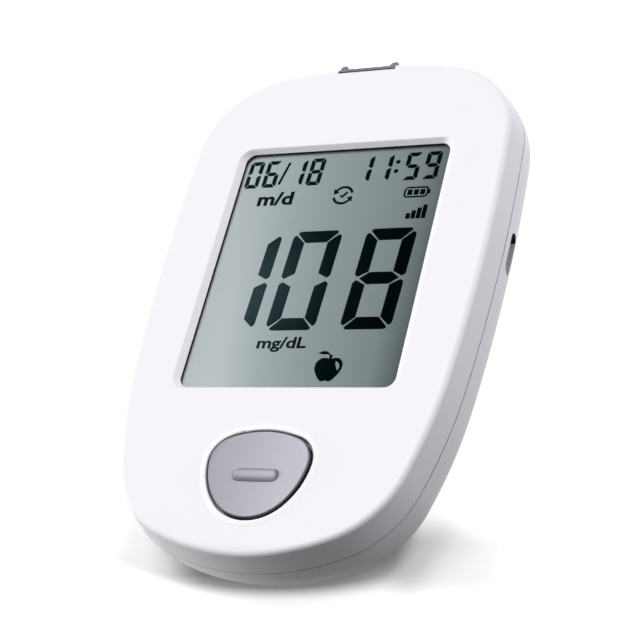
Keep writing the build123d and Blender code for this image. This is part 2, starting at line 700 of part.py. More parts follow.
def button_cap():
    """Hollow dished cap with a raised bar, a retaining flange and a boss for the switch."""
    cap = button_slab(BUTTON_GAP, FLANGE_LOW_Z, CAP_TOP_Z)
    cap = fillet(edges_at(cap, CAP_TOP_Z), CAP_EDGE_RADIUS)
    x, y = BUTTON_CENTRE
    dish_z = CAP_TOP_Z - BUTTON_DISH_DEPTH
    cap -= Pos(x, y, dish_z + BUTTON_DISH_RADIUS) * Sphere(BUTTON_DISH_RADIUS)
    cap += button_slab(-FLANGE_REACH, FLANGE_LOW_Z, FLANGE_TOP_Z)
    cap -= button_slab(BUTTON_GAP + CAP_WALL, FLANGE_LOW_Z - 1, CAP_FLOOR_Z)
    for size in ((16.0, RIB_WIDTH), (RIB_WIDTH, 13.0)):
        cap += plate(size, (x, y), FLANGE_LOW_Z + 0.4, CAP_FLOOR_Z + ROOT_OVERLAP)
    cap += rod(CAP_BOSS_RADIUS, x, y, PLUNGER_TOP_Z + CONTACT_GAP, CAP_FLOOR_Z + ROOT_OVERLAP)
    return cap + button_bar(dish_z)


def switch_body():
    """Square body of the push switch, hollow round the plunger."""
    body = plate((SWITCH_SIZE, SWITCH_SIZE), BUTTON_CENTRE, BOARD_TOP_Z, SWITCH_TOP_Z, 0.4)
    return body - rod(COLLAR_RADIUS + 0.1, *BUTTON_CENTRE, SWITCH_TOP_Z - 1.5, SWITCH_TOP_Z + 1)


def switch_cover():
    """Sheet metal cover that keeps the plunger in."""
    high = SWITCH_TOP_Z + COVER_THICKNESS
    cover = plate((SWITCH_SIZE, SWITCH_SIZE), BUTTON_CENTRE, SWITCH_TOP_Z, high, 0.4)
    return cover - rod(PLUNGER_RADIUS + 0.1, *BUTTON_CENTRE, SWITCH_TOP_Z - 1, high + 1)


def switch_plunger():
    """Round plunger with a collar below the cover."""
    collar_top_z = SWITCH_TOP_Z - 0.05
    plunger = rod(PLUNGER_RADIUS, *BUTTON_CENTRE, collar_top_z - 0.5, PLUNGER_TOP_Z)
    return plunger + rod(COLLAR_RADIUS, *BUTTON_CENTRE, collar_top_z - 0.5, collar_top_z)


# ---------------------------------------------------------------- fasteners and feet


def case_screws():
    """Four screws from the rear wells into the front shell's bosses."""
    return Compound(children=[
        screw(1.95, 1.5, CASE_SHANK_RADIUS, 7.0, x, y, CASE_SEAT_Z).solid()
        for x, y in both_sides(CASE_SCREWS)
    ])


def board_screws():
    """Four small screws that hold the board to the front shell."""
    return Compound(children=[
        screw(1.7, 1.2, BOARD_SHANK_RADIUS, 4.6, x, y, BOARD_BOTTOM_Z).solid()
        for x, y in both_sides(BOARD_SCREWS)
    ])


def rubber_feet():
    """Four round feet pressed into recesses in the back."""
    feet = []
    for x, y in both_sides(FEET):
        foot = rod(FOOT_RADIUS, x, y, 0, FOOT_HEIGHT)
        feet.append(fillet(edges_at(foot, 0), 0.3).solid())
    return Compound(children=feet)


# ---------------------------------------------------------------- one STEP file for each piece

PIECES = (
    front_shell, rear_shell, display_window, window_gasket, front_polariser, lcd_glass,
    rear_polariser, lcd_frame, elastomer_strip, main_board, microcontroller,
    cellular_module, module_shield, sim_holder, sim_card, antenna, buzzer, usb_socket,
    battery_cell, battery_tape, battery_connector, battery_plug, battery_leads,
    strip_port, contact_block, strip_contacts, button_cap, switch_body, switch_cover,
    switch_plunger, case_screws, board_screws, rubber_feet,
)

os.makedirs("parts", exist_ok=True)
for piece in PIECES:
    export_step(piece(), f"parts/{piece.__name__}.step")
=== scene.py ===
from math import atan2, cos, radians, sin

import bpy
from mathutils import Matrix, Vector


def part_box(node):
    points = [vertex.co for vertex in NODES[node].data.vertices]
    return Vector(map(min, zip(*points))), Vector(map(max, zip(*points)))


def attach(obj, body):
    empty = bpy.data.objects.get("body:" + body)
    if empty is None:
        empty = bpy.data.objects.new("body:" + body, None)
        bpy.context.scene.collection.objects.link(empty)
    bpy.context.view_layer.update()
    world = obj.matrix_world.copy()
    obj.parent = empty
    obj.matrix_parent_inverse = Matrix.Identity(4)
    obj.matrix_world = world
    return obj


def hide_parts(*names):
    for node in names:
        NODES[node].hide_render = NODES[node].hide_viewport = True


# A hand-held blood glucose meter on its back, dressed piece by piece in the order it is
# built up: housing, display, window, board, battery, strip port, button, screws and feet.
# Metres, or millimetres where a value is multiplied by MM. +Z points out of the display,
# +Y to the strip port, +X to the display's right.

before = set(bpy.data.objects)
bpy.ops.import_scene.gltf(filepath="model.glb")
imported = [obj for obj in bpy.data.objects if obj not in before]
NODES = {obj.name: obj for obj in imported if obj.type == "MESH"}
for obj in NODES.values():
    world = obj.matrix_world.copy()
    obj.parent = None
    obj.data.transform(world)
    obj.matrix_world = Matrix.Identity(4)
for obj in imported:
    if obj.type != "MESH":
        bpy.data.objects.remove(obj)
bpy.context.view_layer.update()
bpy.ops.object.select_all(action="DESELECT")

# ------------------------------------------------------------------ studio

# A white sweep under a large soft lamp overhead, with a smaller lamp low at each side and a
# surround that is palest above. The camera stands to the lower right, rolled a little.
SENSOR_WIDTH = 36
CAMERA_LENS = 100.37
CAMERA_NEAREST = 0.01
CAMERA_PLACE = Vector((0.1468, -0.15975, 0.2595))
CAMERA_RIGHT = Vector((0.8947, 0.2261, -0.3853))
CAMERA_UP = Vector((0.0149, 0.8469, 0.5316))
KEY_LAMP = {"name": "key_lamp", "place": (-0.30, 0.60, 2.20), "size": 1.3, "power": 30.8}
RIGHT_LAMP = {"name": "right_lamp", "place": (1.40, 0.70, 0.35), "size": 0.7, "power": 7.5}
LEFT_LAMP = {"name": "left_lamp", "place": (-1.39, -0.15, 0.34), "size": 0.6, "power": 14.8}

camera_data = bpy.data.cameras.new("camera")
camera_data.sensor_width = SENSOR_WIDTH
camera_data.lens = CAMERA_LENS
camera_data.clip_start = CAMERA_NEAREST
camera = bpy.data.objects.new("camera", camera_data)
turn = Matrix((CAMERA_RIGHT, CAMERA_UP, CAMERA_RIGHT.cross(CAMERA_UP))).transposed()
camera.matrix_world = Matrix.Translation(CAMERA_PLACE) @ turn.to_4x4()
bpy.context.scene.collection.objects.link(camera)
bpy.context.scene.camera = camera
bpy.context.scene.view_settings.view_transform = "Standard"


def soft_lamp(name, place, size, power):
    """Square area lamp that faces the meter."""
    data = bpy.data.lights.new(name, "AREA")
    data.size = size
    data.energy = power
    lamp = bpy.data.objects.new(name, data)
    lamp.location = place
    lamp.rotation_euler = (-Vector(place)).to_track_quat("-Z", "Y").to_euler()
    bpy.context.scene.collection.objects.link(lamp)
    return lamp


soft_lamp(**KEY_LAMP)
soft_lamp(**RIGHT_LAMP)
low_lamp = soft_lamp(**LEFT_LAMP)


def feed(tree, socket, value):
    """Links a socket to another node's output, or sets it to a constant."""
    if isinstance(value, bpy.types.NodeSocket):
        tree.links.new(value, socket)
    else:
        socket.default_value = value


def worked_out(tree, operation, *values):
    """Output of a Math node on up to three values."""
    node = tree.nodes.new("ShaderNodeMath")
    node.operation = operation
    for socket, value in zip(node.inputs, values):
        feed(tree, socket, value)
    return node.outputs[0]


def measured(tree, operation, *vectors):
    """Number that a Vector Math node gives: a length, a distance or a dot product."""
    node = tree.nodes.new("ShaderNodeVectorMath")
    node.operation = operation
    for socket, vector in zip(node.inputs, vectors):
        feed(tree, socket, vector)
    return node.outputs["Value"]


def scaled(tree, colour, level):
    """Colour times a number."""
    node = tree.nodes.new("ShaderNodeVectorMath")
    node.operation = "SCALE"
    feed(tree, node.inputs[0], colour)
    feed(tree, node.inputs["Scale"], level)
    return node.outputs["Vector"]


def ranged(tree, value, stops, course="LINEAR"):
    """Goes from one level to another as the value goes between two places, {place: level}."""
    node = tree.nodes.new("ShaderNodeMapRange")
    node.interpolation_type = course
    node.inputs["From Min"].default_value, node.inputs["From Max"].default_value = stops
    for name, level in zip(("To Min", "To Max"), stops.values()):
        feed(tree, node.inputs[name], level)
    feed(tree, node.inputs["Value"], value)
    return node.outputs["Result"]


def mixed(tree, factor, first, second, kind="RGBA", blend="MIX"):
    """Colour or number between two others: a factor of 0 gives the first, 1 the second."""
    node = tree.nodes.new("ShaderNodeMix")
    node.data_type = kind
    node.blend_type = blend
    for name, value in (("Factor", factor), ("A", first), ("B", second)):
        feed(tree, node.inputs[name], value)
    return node.outputs["Result"]


def object_place(tree):
    """Place on a piece, in the object's own axes."""
    return tree.nodes.new("ShaderNodeTexCoord").outputs["Object"]


def axes(tree, vector):
    """X, Y and Z of a vector, by name."""
    node = tree.nodes.new("ShaderNodeSeparateXYZ")
    tree.links.new(vector, node.inputs[0])
    return node.outputs


def seen_directly(tree):
    """Output that is 1 for camera, glossy and transmission rays, and 0 for the rest."""
    path = tree.nodes.new("ShaderNodeLightPath").outputs
    seen = worked_out(tree, "MAXIMUM", path["Is Camera Ray"], path["Is Glossy Ray"])
    return worked_out(tree, "MAXIMUM", seen, path["Is Transmission Ray"])


WHITE = (1, 1, 1, 1)
SURROUND_BRIGHTEST = (0.0, 0.30, 0.954)
SURROUND_GLOW = {-0.25: 0.0, 1.0: 0.40}
SURROUND_TINT = (0.97, 0.965, 1.0, 1)


def surround():
    """World that lights the meter softly from above, and is plain white where it is seen."""
    world = bpy.data.worlds.new("surround")
    world.use_nodes = True
    tree = world.node_tree
    background = tree.nodes["Background"]
    direction = tree.nodes.new("ShaderNodeTexCoord").outputs["Generated"]
    upwards = measured(tree, "DOT_PRODUCT", direction, SURROUND_BRIGHTEST)
    glow = ranged(tree, upwards, SURROUND_GLOW)
    seen = seen_directly(tree)
    feed(tree, background.inputs["Color"], mixed(tree, seen, SURROUND_TINT, WHITE))
    feed(tree, background.inputs["Strength"], ranged(tree, seen, {0.0: glow, 1.0: 1.0}))
    return world


bpy.context.scene.world = surround()

FLOOR_WIDTH = 6
FLOOR_ROUGHNESS = 0.9
FLOOR_WHITE = (0.93, 0.93, 0.935)
# what the floor throws back at the meter, by Y: little at the chin, more behind it
FLOOR_BOUNCE = {-0.08: (0.03, 0.03, 0.032, 1), 0.05: (0.62, 0.615, 0.66, 1)}
# painted light lifts the floor to white by place, away from the shadow, which is left only where it
# hugs the chin and fans out at its right
SHADOW_MIDDLE = (-0.008, -0.040)
SHADOW_REACH = (0.036, 0.011)
CHIN_LIFT = {0.86: 0.03, 1.19: 0.80}
LEFT_LIFT = {-0.042: 0.30, -0.026: 0.0}
FAR_LIFT = {0.034: 0.12, 0.050: 0.60}
FAN_STARTS = {0.0175: 0.0, 0.0245: 1.0}
FAN_LIFT = {0.027: 0.31, 0.035: 0.19}
FAN_MIDDLE_Y = -0.0435
FAN_EDGE_LIFT = {0.003: 0.0, 0.0105: 0.5}
# painted shadow: where the chin all but touches the floor its seen colour is darkest, less so at the
# left
CONTACT_SHADE = {0.78: 0.48, 0.93: 1.0}
CONTACT_LEFT = {-0.026: 1.0, -0.008: 0.0}


def white_sweep():
    """Matt white floor that keeps only the soft shadow round the chin where it is seen, deepened
    there by painted shadow.
    """
    material = bpy.data.materials.new("white_sweep")
    material.use_nodes = True
    tree = material.node_tree
    shader = tree.nodes["Principled BSDF"]
    shader.inputs["Roughness"].default_value = FLOOR_ROUGHNESS
    shader.inputs["Specular IOR Level"].default_value = 0.0
    shader.inputs["Emission Color"].default_value = WHITE
    place = object_place(tree)
    x, y, _ = axes(tree, place)
    shadow = tree.nodes.new("ShaderNodeMapping")
    shadow.vector_type = "TEXTURE"
    shadow.inputs["Location"].default_value = (*SHADOW_MIDDLE, 0)
    shadow.inputs["Scale"].default_value = (*SHADOW_REACH, 1)
    feed(tree, shadow.inputs["Vector"], place)
    away = measured(tree, "LENGTH", shadow.outputs["Vector"])
    seen = seen_directly(tree)

    def eased(value, stops):
        return ranged(tree, value, stops, course="SMOOTHSTEP")

    sideways = worked_out(tree, "ABSOLUTE", worked_out(tree, "SUBTRACT", y, FAN_MIDDLE_Y))
    fan = worked_out(tree, "ADD", eased(x, FAN_LIFT), eased(sideways, FAN_EDGE_LIFT))
    lift = mixed(tree, eased(x, FAN_STARTS), eased(away, CHIN_LIFT), fan, kind="FLOAT")
    for edge in (LEFT_LIFT, FAR_LIFT):
        lift = worked_out(tree, "MAXIMUM", eased(x, edge), lift)
    # painted light: the seen floor glows white by place, so that its shadow shows only round the chin
    feed(tree, shader.inputs["Emission Strength"], worked_out(tree, "MULTIPLY", seen, lift))

    # painted shadow: the seen floor is painted darker under the chin
    shade = worked_out(tree, "MAXIMUM", eased(away, CONTACT_SHADE), eased(x, CONTACT_LEFT))
    near, far = FLOOR_BOUNCE
    bounce = mixed(tree, eased(y, {near: 0.0, far: 1.0}), *FLOOR_BOUNCE.values())
    tone = mixed(tree, seen, bounce, scaled(tree, FLOOR_WHITE, shade))
    feed(tree, shader.inputs["Base Color"], tone)
    return material


bpy.ops.mesh.primitive_plane_add(size=FLOOR_WIDTH)
floor = bpy.context.object
floor.name = "floor"
floor.data.materials.append(white_sweep())

# the low lamp is kept out of reflections and off the floor, as a flagged lamp is
flagged = bpy.data.collections.new("flagged_from_low_lamp")
low_lamp.visible_glossy = False
low_lamp.light_linking.receiver_collection = flagged
flagged.objects.link(floor)
flagged.collection_objects[0].light_linking.link_state = "EXCLUDE"

# ------------------------------------------------------------------ housing

# Two injection-moulded halves in white polycarbonate blend, screwed together from behind.
# The skin is a fine satin, a little cloudier where hands rub it, with a faint orange peel.
MM = 0.001
CLOUD_SCALE, CLOUD_DETAIL = 55, 5
GRAIN_DETAIL = 3
GRAIN_DISTANCE = 0.0001


def noise(tree, place, scale, detail):
    """Soft random values in space."""
    node = tree.nodes.new("ShaderNodeTexNoise")
    node.inputs["Detail"].default_value = detail
    feed(tree, node.inputs["Scale"], scale)
    feed(tree, node.inputs["Vector"], place)
    return node.outputs["Fac"]


def bumped(tree, height, strength, distance):
    """Normal of a surface that rises and falls with a value."""
    node = tree.nodes.new("ShaderNodeBump")
    node.inputs["Distance"].default_value = distance
    feed(tree, node.inputs["Strength"], strength)
    feed(tree, node.inputs["Height"], height)
    return node.outputs["Normal"]


def moulding_group():
    """Node group for moulded plastic: tone that drifts, fine grain and patchy gloss."""
    group = bpy.data.node_groups.new("moulding", "ShaderNodeTree")
    taken = {
        "Colour": "Color", "Drift": "Float", "Roughness": "Float", "Patches": "Float",
        "Grain Scale": "Float", "Grain Depth": "Float",
    }
    given = {"Colour": "Color", "Roughness": "Float", "Normal": "Vector"}
    for direction, sockets in (("INPUT", taken), ("OUTPUT", given)):
        for name, kind in sockets.items():
            group.interface.new_socket(name, in_out=direction, socket_type="NodeSocket" + kind)
    entry = group.nodes.new("NodeGroupInput").outputs
    leave = group.nodes.new("NodeGroupOutput").inputs
    place = object_place(group)
    cloud = noise(group, place, CLOUD_SCALE, CLOUD_DETAIL)
    centred = worked_out(group, "SUBTRACT", cloud, 0.5)
    drift = worked_out(group, "MULTIPLY_ADD", centred, entry["Drift"], 1.0)
    patch = worked_out(group, "MULTIPLY_ADD", centred, entry["Patches"], entry["Roughness"])
    grain = noise(group, place, entry["Grain Scale"], GRAIN_DETAIL)
    feed(group, leave["Colour"], scaled(group, entry["Colour"], drift))
    feed(group, leave["Roughness"], patch)
    feed(group, leave["Normal"], bumped(group, grain, entry["Grain Depth"], GRAIN_DISTANCE))
    return group


MOULDING = moulding_group()


def moulded(name, colour, roughness, grain=(4000, 0.1), drift=0.02, patches=0.1, **sockets):
    """Material of moulded plastic, rubber or film. sockets are the shader's own values."""
    material = bpy.data.materials.new(name)
    material.use_nodes = True
    tree = material.node_tree
    shader = tree.nodes["Principled BSDF"]
    skin = tree.nodes.new("ShaderNodeGroup")
    skin.node_tree = MOULDING
    skin.inputs["Colour"].default_value = (*colour, 1)
    skin.inputs["Drift"].default_value = drift
    skin.inputs["Roughness"].default_value = roughness
    skin.inputs["Patches"].default_value = patches
    skin.inputs["Grain Scale"].default_value = grain[0]
    skin.inputs["Grain Depth"].default_value = grain[1]
    tree.links.new(skin.outputs["Colour"], shader.inputs["Base Color"])
    tree.links.new(skin.outputs["Roughness"], shader.inputs["Roughness"])
    tree.links.new(skin.outputs["Normal"], shader.inputs["Normal"])
    for socket, value in sockets.items():
        shader.inputs[socket.replace("_", " ")].default_value = value
    return material


def recolour(material, colour):
    """Feeds a worked-out colour to the moulding of a material."""
    tree = material.node_tree
    skin = next(node for node in tree.nodes if node.type == "GROUP")
    feed(tree, skin.inputs["Colour"], colour)


def dress(material, *names):
    """Gives CAD nodes their finish."""
    for name in names:
        for slot in NODES[name].material_slots:
            slot.material = material


def in_metres(stops):
    """The same stops, {place: level}, with their places changed from millimetres."""
    return {place * MM: level for place, level in stops.items()}


SHELL_WHITE = (0.885, 0.880, 0.915)
# the joint between the halves is a narrow groove, painted dark as its shade with a little dust
GROOVE_Z, GROOVE_HALF = 13.12, 0.16
JOINT_SHADE = (0.10, 0.10, 0.11, 1)
# the ring round the button stands a little above the front and is painted paler as a highlight
RING_RISE = {19.01: 0.0, 19.09: 1.0}
RING_HIGHLIGHT = (0.965, 0.965, 0.985, 1)
# the upper end of the charging slot, whose end is an arc, is painted black as deep shade
SLOT_END = {"Y": 15.8, "Z": 9.7}
SLOT_END_RADIUS = 1.53
SLOT_SHADE_START = {"X": 0.0, "Y": 16.3}
SLOT_END_SHADE = (0.012, 0.012, 0.014, 1)


def shell_plastic():
    """White plastic of both halves, with painted shade in the joint, a painted highlight on the ring
    and painted shade at the slot's end.
    """
    material = moulded(
        "white_shell", SHELL_WHITE, 0.45, grain=(2600, 0.10), drift=0.012, Specular_IOR_Level=0.35
    )
    tree = material.node_tree
    spot = axes(tree, object_place(tree))
    groove = worked_out(tree, "COMPARE", spot["Z"], GROOVE_Z * MM, GROOVE_HALF * MM)
    # painted shade, with a little dust, in the joint's groove
    tone = mixed(tree, groove, (*SHELL_WHITE, 1), JOINT_SHADE)
    # painted highlight on the raised ring
    tone = mixed(tree, ranged(tree, spot["Z"], in_metres(RING_RISE)), tone, RING_HIGHLIGHT)
    # painted shade: the far end of the charging slot is painted black
    side_on = tree.nodes.new("ShaderNodeCombineXYZ")
    for axis in SLOT_END:
        feed(tree, side_on.inputs[axis], spot[axis])
    middle = (0, *(place * MM for place in SLOT_END.values()))
    reach = measured(tree, "DISTANCE", side_on.outputs[0], middle)
    slot_shade = worked_out(tree, "LESS_THAN", reach, SLOT_END_RADIUS * MM)
    for axis, start in SLOT_SHADE_START.items():
        beyond = worked_out(tree, "GREATER_THAN", spot[axis], start * MM)
        slot_shade = worked_out(tree, "MULTIPLY", slot_shade, beyond)
    recolour(material, mixed(tree, slot_shade, tone, SLOT_END_SHADE))
    return material


dress(shell_plastic(), "front_shell", "rear_shell")

# ------------------------------------------------------------------ display cell

# Reflective segment display: silver film, two glass plates and a grey-green polariser.
# It sits in a white moulded carrier over the board, fed through a rubber contact strip.
# painted light and shade: by place the film is paler towards the lower left and darkest at its right
# edge, where the bezel's shade falls
FILM_TONES = {
    0.0: (0.620, 0.687, 0.698), 0.12: (0.594, 0.666, 0.677), 0.30: (0.451, 0.523, 0.531),
    0.50: (0.350, 0.414, 0.416), 0.86: (0.242, 0.297, 0.297), 1.0: (0.113, 0.140, 0.138),
}
FILM_WIDTH, FILM_LEAN, FILM_TWIST = 0.044, 0.09, 6.0


def ramped(tree, value, tones):
    """Colour that a ramp gives, {position: colour}."""
    ramp = tree.nodes.new("ShaderNodeValToRGB")
    stops = ramp.color_ramp.elements
    for position in list(tones)[1:-1]:
        stops.new(position)
    for stop, (position, tone) in zip(stops, tones.items()):
        stop.position = position
        stop.color = (*tone, 1)
    feed(tree, ramp.inputs["Fac"], value)
    return ramp.outputs["Color"]


def polariser_film():
    """Grey-green film with painted light and shade: paler towards the lower left, darkest at its
    right edge.
    """
    material = moulded(
        "display_film", FILM_TONES[0.50], 0.35, grain=(9000, 0.05), drift=0.03, Specular_IOR_Level=0.0
    )
    tree = material.node_tree
    spot = axes(tree, object_place(tree))
    narrowing = worked_out(tree, "MULTIPLY_ADD", spot["Y"], -FILM_TWIST, 1.0)
    across = worked_out(tree, "MULTIPLY", narrowing, spot["X"])
    leaned = worked_out(tree, "MULTIPLY_ADD", spot["Y"], FILM_LEAN, across)
    placed = worked_out(tree, "MULTIPLY_ADD", leaned, 1 / FILM_WIDTH, 0.5)
    recolour(material, ramped(tree, placed, FILM_TONES))
    return material


dress(polariser_film(), "front_polariser")
dress(
    moulded("reflector_film", (0.55, 0.58, 0.57), 0.35, grain=(6000, 0.2), Metallic=0.6),
    "rear_polariser",
)
dress(
    moulded("display_glass", (0.62, 0.70, 0.68), 0.08, grain=(300, 0.02), Coat_Weight=0.5),
    "lcd_glass",
)
dress(moulded("carrier_plastic", (0.74, 0.74, 0.71), 0.50, grain=(2500, 0.2)), "lcd_frame")
dress(
    moulded("contact_rubber", (0.055, 0.055, 0.060), 0.70, grain=(3000, 0.4)), "elastomer_strip"
)

# ------------------------------------------------------------------ display figures

# The lit segments of the cell: dark areas between its two glass plates, drawn here as
# plates a few hundredths of a millimetre thick on the film. They show no word but units.
INK_THICKNESS = 0.02
INK_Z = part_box("front_polariser")[1].z / MM
SLANT = 0.033
BIG_FIGURE = {"width": 10.1, "height": 21.8, "stroke": 2.62}
SMALL_FIGURE = {"width": 3.05, "height": 6.35, "stroke": 0.88}
SEGMENTS_LIT = {
    "0": "abcdef", "1": "bc", "5": "afgcd", "6": "afgecd", "8": "abcdefg", "9": "abcdfg",
}
# painted sheen: the ink is a paler grey round a spot at the left, by the distance from it
INK_PALEST = (-17.0, 0.5)
INK_SHEEN_REACH = {3.0: 0.0, 30.0: 1.0}
INK_SHEEN = {
    0.0: (0.036, 0.056, 0.060), 0.35: (0.015, 0.024, 0.026), 0.65: (0.002, 0.002, 0.002),
    1.0: (0, 0, 0),
}
# and, as painted sheen too, turns from blue-grey to blue-black between these places by X
INK_TURNS = {-20.0: 0.0, 14.0: 1.0}
INK_LEFT = (0.0040, 0.0150, 0.0185, 1)
INK_RIGHT = (0.0003, 0.0028, 0.0040, 1)


def plate_of(points):
    """Thin plate with that outline, in millimetres, lying on the film."""
    bpy.ops.mesh.primitive_circle_add(vertices=len(points), fill_type="NGON")
    piece = bpy.context.object
    for vertex, (x, y) in zip(piece.data.vertices, points):
        vertex.co = (x * MM, y * MM, INK_Z * MM)
    bpy.ops.object.mode_set(mode="EDIT")
    bpy.ops.mesh.select_all(action="SELECT")
    bpy.ops.mesh.extrude_region_move(
        TRANSFORM_OT_translate={"value": (0, 0, INK_THICKNESS * MM)}
    )
    bpy.ops.mesh.select_all(action="SELECT")
    bpy.ops.mesh.normals_make_consistent(inside=False)
    bpy.ops.object.mode_set(mode="OBJECT")
    return piece


def joined(name, pieces):
    """One object out of several, with its origin at the frame's."""
    bpy.ops.object.select_all(action="DESELECT")
    for piece in pieces:
        piece.select_set(True)
    bpy.context.view_layer.objects.active = pieces[0]
    bpy.ops.object.join()
    whole = bpy.context.object
    bpy.ops.object.transform_apply(location=True, rotation=True, scale=True)
    whole.name = whole.data.name = name
    bpy.ops.object.select_all(action="DESELECT")
    return whole


def upright_outline(half, stroke):
    """Outline of the upper left upright, from the middle line at y 0 to the top at y half."""
    return [
        (stroke, half - stroke), (0.27 * stroke, half - 0.35 * stroke),
        (0.10 * stroke, half - 0.38 * stroke), (0, half - 0.60 * stroke),
        (0, 0.34 * stroke), (0.25 * stroke, 0.13 * stroke), (stroke, 0.55 * stroke),
    ]


def bar_outline(width, half, stroke):
    """Outline of the top bar."""
    left = [
        (1.10 * stroke, half - stroke), (0.34 * stroke, half - 0.20 * stroke),
        (0.38 * stroke, half - 0.06 * stroke), (0.55 * stroke, half),
    ]
    return left + [(width - x, y) for x, y in reversed(left)]


def middle_outline(width, stroke):
    """Outline of the middle bar, pointed at both ends."""
    tip, shoulder, half_stroke = 0.42 * stroke, 1.08 * stroke, 0.5 * stroke
    return [
        (tip, 0), (shoulder, half_stroke), (width - shoulder, half_stroke),
        (width - tip, 0), (width - shoulder, -half_stroke), (shoulder, -half_stroke),
    ]


def figure(digit, left, base, width, height, stroke):
    """Plates of one seven-segment figure; left and base are the corner of its box."""
    half = height / 2
    upright, bar = upright_outline(half, stroke), bar_outline(width, half, stroke)
    outlines = {
        "a": bar, "d": [(x, -y) for x, y in bar],
        "f": upright, "e": [(x, -y) for x, y in upright],
        "b": [(width - x, y) for x, y in upright],
        "c": [(width - x, -y) for x, y in upright],
        "g": middle_outline(width, stroke),
    }
    plates = []
    for segment in SEGMENTS_LIT[digit]:
        placed = [(left + x + SLANT * (y + half), base + half + y) for x, y in outlines[segment]]
        plates.append(plate_of(placed))
    return plates


def ribbon(points, width):
    """Outline of a line of that width through the points."""
    sides = [[], []]
    for index, (x, y) in enumerate(points):
        x0, y0 = points[max(index - 1, 0)]
        x1, y1 = points[min(index + 1, len(points) - 1)]
        along = atan2(y1 - y0, x1 - x0)
        for side, outline in zip((1, -1), sides):
            outline.append((x - side * sin(along) * width / 2, y + side * cos(along) * width / 2))
    return sides[0] + sides[1][::-1]


def arc_points(centre, radius, start, end, count):
    """Points along an arc, angles in degrees."""
    angles = [radians(start + (end - start) * i / (count - 1)) for i in range(count)]
    return [(centre[0] + radius * cos(a), centre[1] + radius * sin(a)) for a in angles]


def rectangle(left, low, width, height):
    """Plate of a plain upright rectangle."""
    right, high = left + width, low + height
    return plate_of([(left, low), (right, low), (right, high), (left, high)])


def moved(points, middle):
    """Points that are given from a middle, placed round it."""
    return [(middle[0] + x, middle[1] + y) for x, y in points]


def display_ink():
    """Blue-black of a lit segment, with painted sheen that makes it greyer to the left."""
    material = moulded(
        "display_ink", INK_LEFT[:3], 0.35, grain=(9000, 0.05), Specular_IOR_Level=0.0
    )
    tree = material.node_tree
    place = object_place(tree)
    palest = (*(side * MM for side in INK_PALEST), INK_Z * MM)
    distance = measured(tree, "DISTANCE", place, palest)
    # painted sheen, paler round a spot at the left
    glow = ramped(tree, ranged(tree, distance, in_metres(INK_SHEEN_REACH)), INK_SHEEN)
    sideways = ranged(tree, axes(tree, place)["X"], in_metres(INK_TURNS))
    plain = mixed(tree, sideways, INK_LEFT, INK_RIGHT)
    recolour(material, mixed(tree, 1.0, plain, glow, blend="ADD"))
    return material


DISPLAY_INK = display_ink()


def printed(name, plates):
    """Joins a group of plates, finishes it and fixes it to the meter."""
    piece = joined(name, plates)
    piece.data.materials.clear()
    piece.data.materials.append(DISPLAY_INK)
    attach(piece, "meter")


READING_BASE = -7.25
reading = []
for digit, left in (("1", -20.0), ("0", -7.45), ("8", 7.60)):
    reading += figure(digit, left, READING_BASE, **BIG_FIGURE)
printed("reading_figures", reading)

DATE_BASE = 25.35
DATE_STROKE = {"points": [(-13.40, 25.95), (-12.15, 31.10)], "width": 0.56}
COLON_PLACES = ((11.0, 27.6), (11.0, 29.75))
COLON_DOT = {"radius": 0.46, "start": 0, "end": 337.5, "count": 16}
date = []
for digit, left in (("0", -20.95), ("6", -17.15), ("1", -11.45), ("8", -7.60)):
    date += figure(digit, left, DATE_BASE, **SMALL_FIGURE)
date.append(plate_of(ribbon(**DATE_STROKE)))
for digit, left in (("1", 2.75), ("1", 6.75), ("5", 12.55), ("9", 16.55)):
    date += figure(digit, left, DATE_BASE, **SMALL_FIGURE)
for dot_place in COLON_PLACES:
    date.append(plate_of(arc_points(dot_place, **COLON_DOT)))
printed("date_and_time_figures", date)

# round arrows with a tick, for a reading that has been sent
SENT_CENTRE = (1.20, 22.60)
SENT_ARC = {"radius": 1.88, "sweep": 132, "width": 0.52}
# corners of an arrow's head, each by its radius and its angle from the arrow's start
SENT_HEAD = ((1.08, 130), (2.62, 128), (2.02, 158))
SENT_TICK = {"points": [(-0.50, 0.05), (-0.12, -0.42), (0.82, 0.70)], "width": 0.54}
icons = []
for start in (15, 195):
    band = arc_points(SENT_CENTRE, SENT_ARC["radius"], start, start + SENT_ARC["sweep"], 14)
    icons.append(plate_of(ribbon(band, SENT_ARC["width"])))
    icons.append(plate_of([
        arc_points(SENT_CENTRE, radius, 0, start + angle, 2)[1] for radius, angle in SENT_HEAD
    ]))
icons.append(plate_of(ribbon(moved(SENT_TICK["points"], SENT_CENTRE), SENT_TICK["width"])))

# battery outline with its knob and three bars
BATTERY_LEFT, BATTERY_RIGHT, BATTERY_LOW, BATTERY_HIGH = 13.93, 18.50, 21.45, 23.55
BATTERY_CORNER = 0.62
BATTERY_LINE_WIDTH = 0.36
BATTERY_LINE_GAP = 0.03
BATTERY_KNOB = {"left": BATTERY_RIGHT + 0.12, "low": 22.02, "width": 0.42, "height": 0.96}
battery_line = []
for x, y, start in (
    (BATTERY_LEFT + BATTERY_CORNER, BATTERY_HIGH - BATTERY_CORNER, 180),
    (BATTERY_RIGHT - BATTERY_CORNER, BATTERY_HIGH - BATTERY_CORNER, 90),
    (BATTERY_RIGHT - BATTERY_CORNER, BATTERY_LOW + BATTERY_CORNER, 0),
    (BATTERY_LEFT + BATTERY_CORNER, BATTERY_LOW + BATTERY_CORNER, -90),
):
    battery_line += arc_points((x, y), BATTERY_CORNER, start, start - 90, 6)
battery_line.append((BATTERY_LEFT, BATTERY_HIGH - BATTERY_CORNER - BATTERY_LINE_GAP))
icons.append(plate_of(ribbon(battery_line, BATTERY_LINE_WIDTH)))
icons.append(rectangle(**BATTERY_KNOB))
